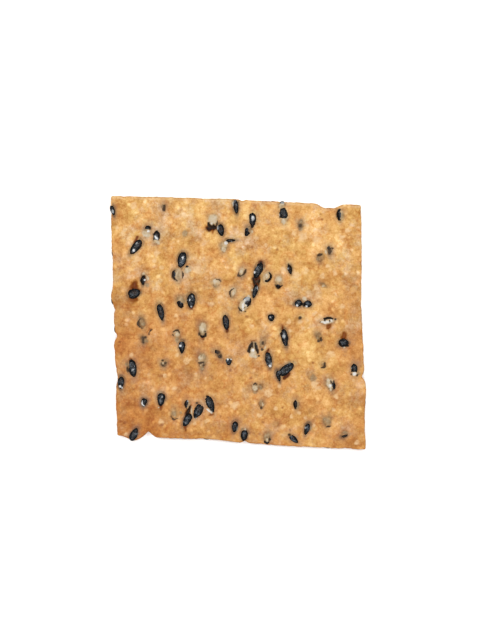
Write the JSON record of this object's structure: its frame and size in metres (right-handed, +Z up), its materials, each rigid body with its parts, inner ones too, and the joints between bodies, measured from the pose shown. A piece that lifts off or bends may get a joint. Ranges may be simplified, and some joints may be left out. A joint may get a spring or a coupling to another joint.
{
  "type": "seed cracker",
  "caption": "Thin square baked cracker with a hand-cut, slightly skewed outline, nicked edges and black sesame seeds set in both faces.",
  "frame": {"origin": "under the middle of the cracker, on the plane that it rests on", "axes": "+Z up through the thickness, +X along the picture's right, +Y along the picture's up"},
  "size_m": [0.0492, 0.0489, 0.0025],
  "materials": {
    "dough": "matt golden-brown baked dough, mottled, with cream flecks and browner hollows",
    "black_seed": "blue-black sesame hull with a satin gloss"
  },
  "bodies": {
    "root": {"cracker": "dough"}
  },
  "joints": []
}
